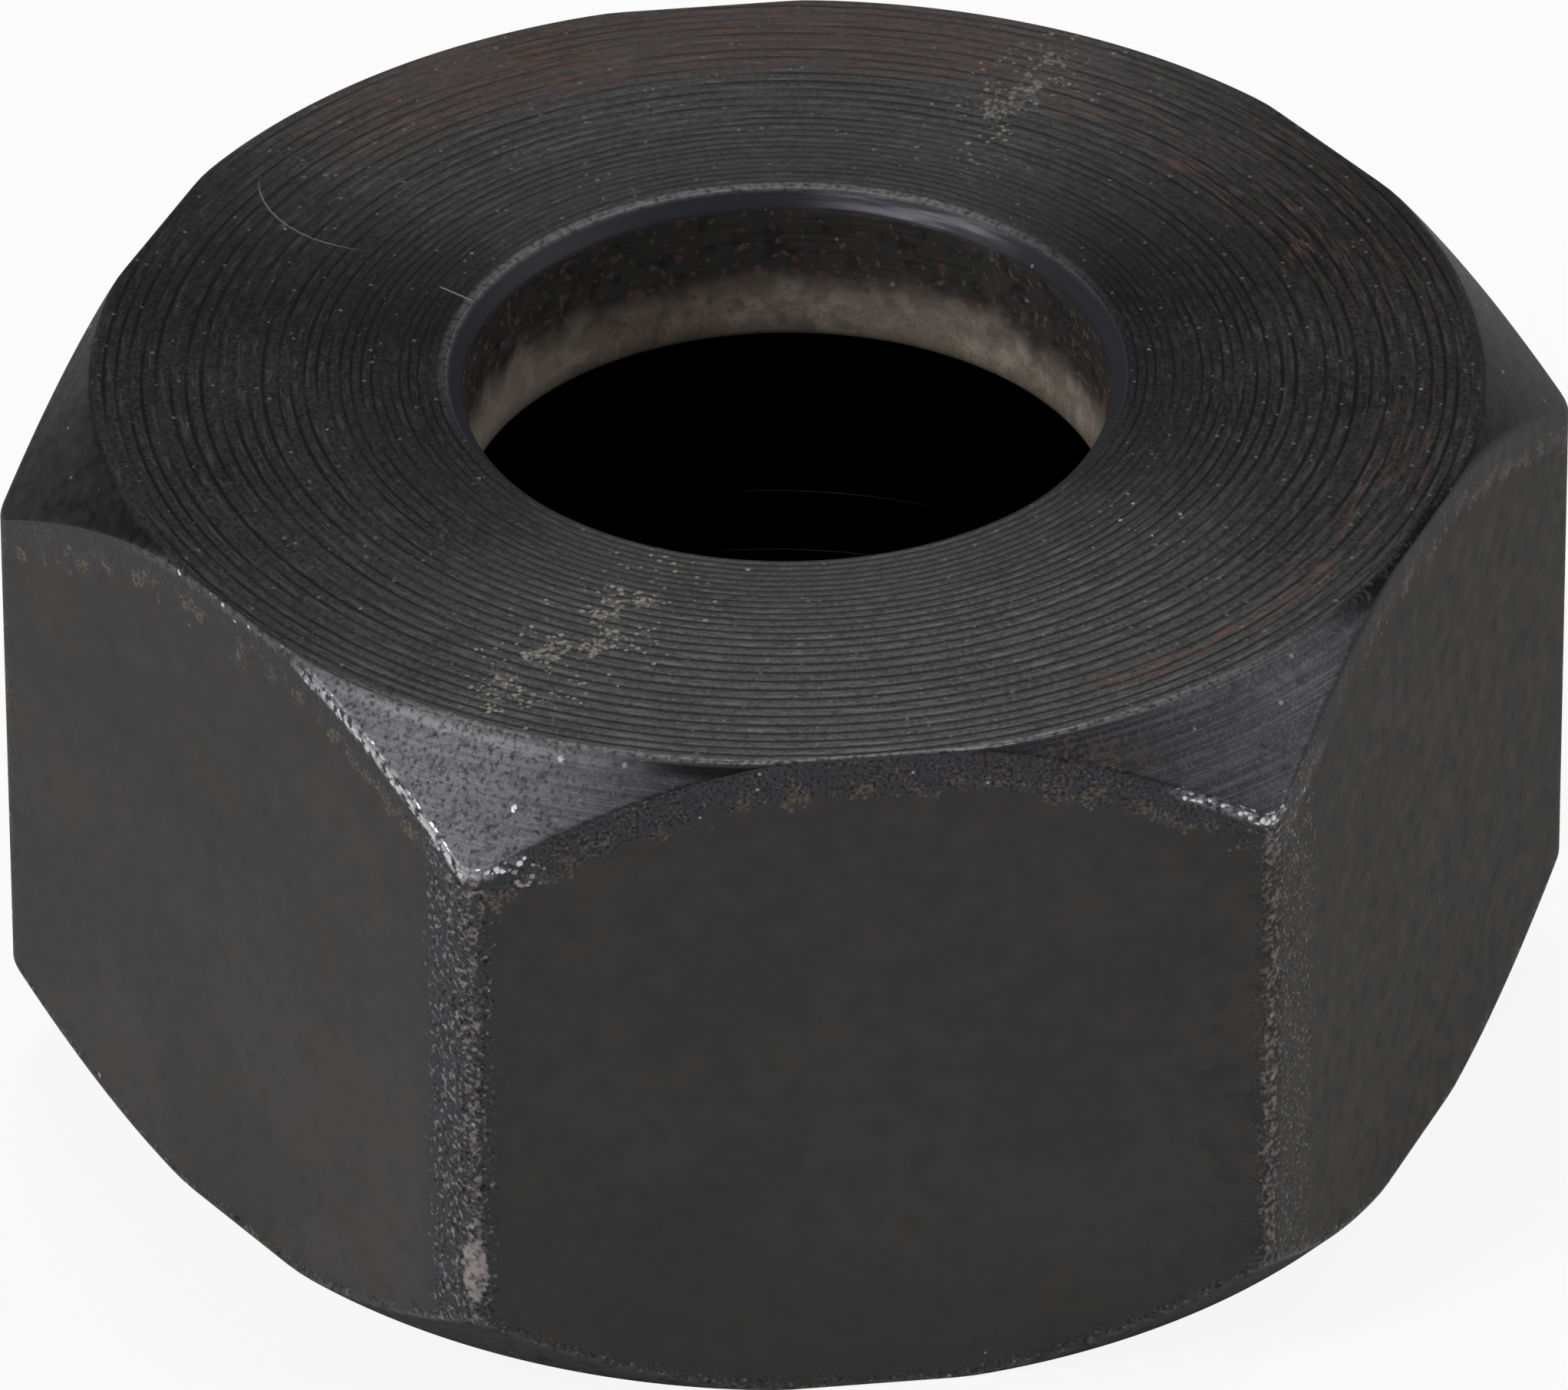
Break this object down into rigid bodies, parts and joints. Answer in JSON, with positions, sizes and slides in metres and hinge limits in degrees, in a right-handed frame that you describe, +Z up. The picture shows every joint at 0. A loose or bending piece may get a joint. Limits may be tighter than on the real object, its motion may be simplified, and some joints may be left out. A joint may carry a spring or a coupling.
{
  "type": "clamping nut",
  "caption": "Hexagon clamping nut with a turned top face, bevelled ends, a plain shank bore and, below it, a collet seat and a spindle thread.",
  "frame": {"origin": "centre of the underside, on the nut's axis", "axes": "+Z up the nut's axis, from the underside to the turned top face; +Y out of one flat, +X through a corner"},
  "size_m": [0.0218, 0.019, 0.0104],
  "materials": {
    "blackened_steel": "black oxide on turned and drawn steel, worn bright on the edges, with a little rust"
  },
  "bodies": {
    "root": {"clamping_nut": "blackened_steel"}
  },
  "joints": []
}
